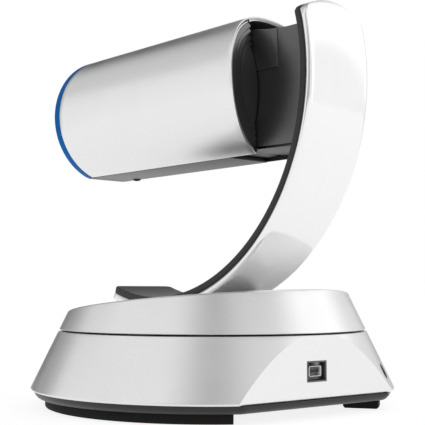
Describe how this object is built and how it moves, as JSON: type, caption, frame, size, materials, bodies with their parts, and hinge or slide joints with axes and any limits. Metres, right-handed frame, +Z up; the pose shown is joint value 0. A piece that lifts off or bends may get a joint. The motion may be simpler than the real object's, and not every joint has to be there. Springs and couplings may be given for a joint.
{
  "type": "ptz camera",
  "caption": "Desktop pan-tilt-zoom camera: round conical base with a turning top, a curved C-shaped arm and a horizontal cylindrical head that tilts on a neck.",
  "frame": {"origin": "on the pan axis at the surface the rubber foot stands on, 1.2 mm below the mouth of the tripod thread", "axes": "+Z up along the pan axis; -Y is the way the lens looks at rest; +X is the camera's own left side, +Y its rear with the arm and the data port"},
  "size_m": [0.18, 0.1793, 0.1889],
  "materials": {
    "satin_silver": "satin metallic paint on plastic",
    "polished_silver": "high-gloss silver-white",
    "dark_plastic": "fine satin",
    "foot_rubber": "matt",
    "brass": "machined",
    "black_plastic": "satin",
    "connector_metal": "plated",
    "dark_metal": "blackened",
    "circuit_board": "solder mask",
    "machined_aluminium": "machined",
    "gear_plastic": "smooth",
    "blue_ring": "gloss, tinted",
    "grey_panel": "satin",
    "window_glass": "polished, dark tint",
    "lens_glass": "coated",
    "rod_steel": "ground"
  },
  "bodies": {
    "base": {"base_shell": "satin_silver", "base_plate": "dark_plastic", "foot_ring": "foot_rubber", "tripod_insert": "brass", "port_cup": "black_plastic", "port_shell": "connector_metal", "port_tongue": "black_plastic", "lock_slot_insert": "dark_metal", "main_board": "circuit_board", "main_processor": "black_plastic", "board_standoffs": "brass", "pan_post": "machined_aluminium", "pan_retainer": "machined_aluminium", "pan_motor": "dark_metal", "base_screws": "dark_metal"},
    "turntable": {"turntable_shell": "satin_silver", "turntable_chassis": "machined_aluminium", "pan_gear": "gear_plastic", "turntable_screws": "dark_metal", "arm_shell": "polished_silver", "arm_liner": "dark_plastic", "arm_fairing": "satin_silver", "arm_saddle": "machined_aluminium", "arm_screws": "dark_metal", "neck_left": "dark_plastic", "neck_right": "dark_plastic", "neck_cap": "dark_plastic", "neck_sole": "grey_panel", "neck_screws": "dark_metal", "neck_fixings": "dark_metal", "axle_bushings": "brass", "tilt_motor": "dark_metal"},
    "head": {"head_shell": "satin_silver", "ring_trim": "blue_ring", "front_bezel": "black_plastic", "front_glass": "window_glass", "ring_light_board": "circuit_board", "lens_barrel": "black_plastic", "front_lens": "lens_glass", "guide_rods": "rod_steel", "image_sensor": "black_plastic", "sensor_board": "circuit_board", "sensor_spacers": "brass", "head_chassis": "machined_aluminium", "rear_cowl": "dark_plastic", "underside_panel": "grey_panel", "underside_bumper": "foot_rubber", "tilt_axle": "rod_steel", "tilt_gear": "gear_plastic", "axle_clips": "dark_metal"},
    "pan_pinion": {"pan_pinion": "brass"},
    "tilt_pinion": {"tilt_pinion": "brass"},
    "zoom_carriage": {"zoom_carriage": "black_plastic", "zoom_lens": "lens_glass"},
    "focus_carriage": {"focus_carriage": "black_plastic", "focus_lens": "lens_glass"}
  },
  "joints": [
    {"name": "pan", "type": "hinge", "parent": "base", "child": "turntable", "pos_m": [0, 0, 0.04], "axis": [0, 0, 1], "range_deg": [-130, 130]},
    {"name": "tilt", "type": "hinge", "parent": "turntable", "child": "head", "pos_m": [0, 0.03, 0.1493], "axis": [-1, 0, 0], "range_deg": [-20, 20]},
    {"name": "pan_pinion_spin", "type": "hinge", "parent": "base", "child": "pan_pinion", "pos_m": [0, -0.052, 0.027], "axis": [0, 0, 1], "range_deg": [-720, 720]},
    {"name": "tilt_pinion_spin", "type": "hinge", "parent": "turntable", "child": "tilt_pinion", "pos_m": [0, 0.052, 0.1493], "axis": [-1, 0, 0], "range_deg": [-90, 90]},
    {"name": "zoom_slide", "type": "slide", "parent": "head", "child": "zoom_carriage", "axis": [0, 1, 0], "range_m": [-0.014, 0.014]},
    {"name": "focus_slide", "type": "slide", "parent": "head", "child": "focus_carriage", "axis": [0, 1, 0], "range_m": [-0.006, 0.006]}
  ],
  "couplings": [
    {"joint": "pan_pinion_spin", "follows": "pan", "ratio": -5.5},
    {"joint": "tilt_pinion_spin", "follows": "tilt", "ratio": -3.4}
  ]
}
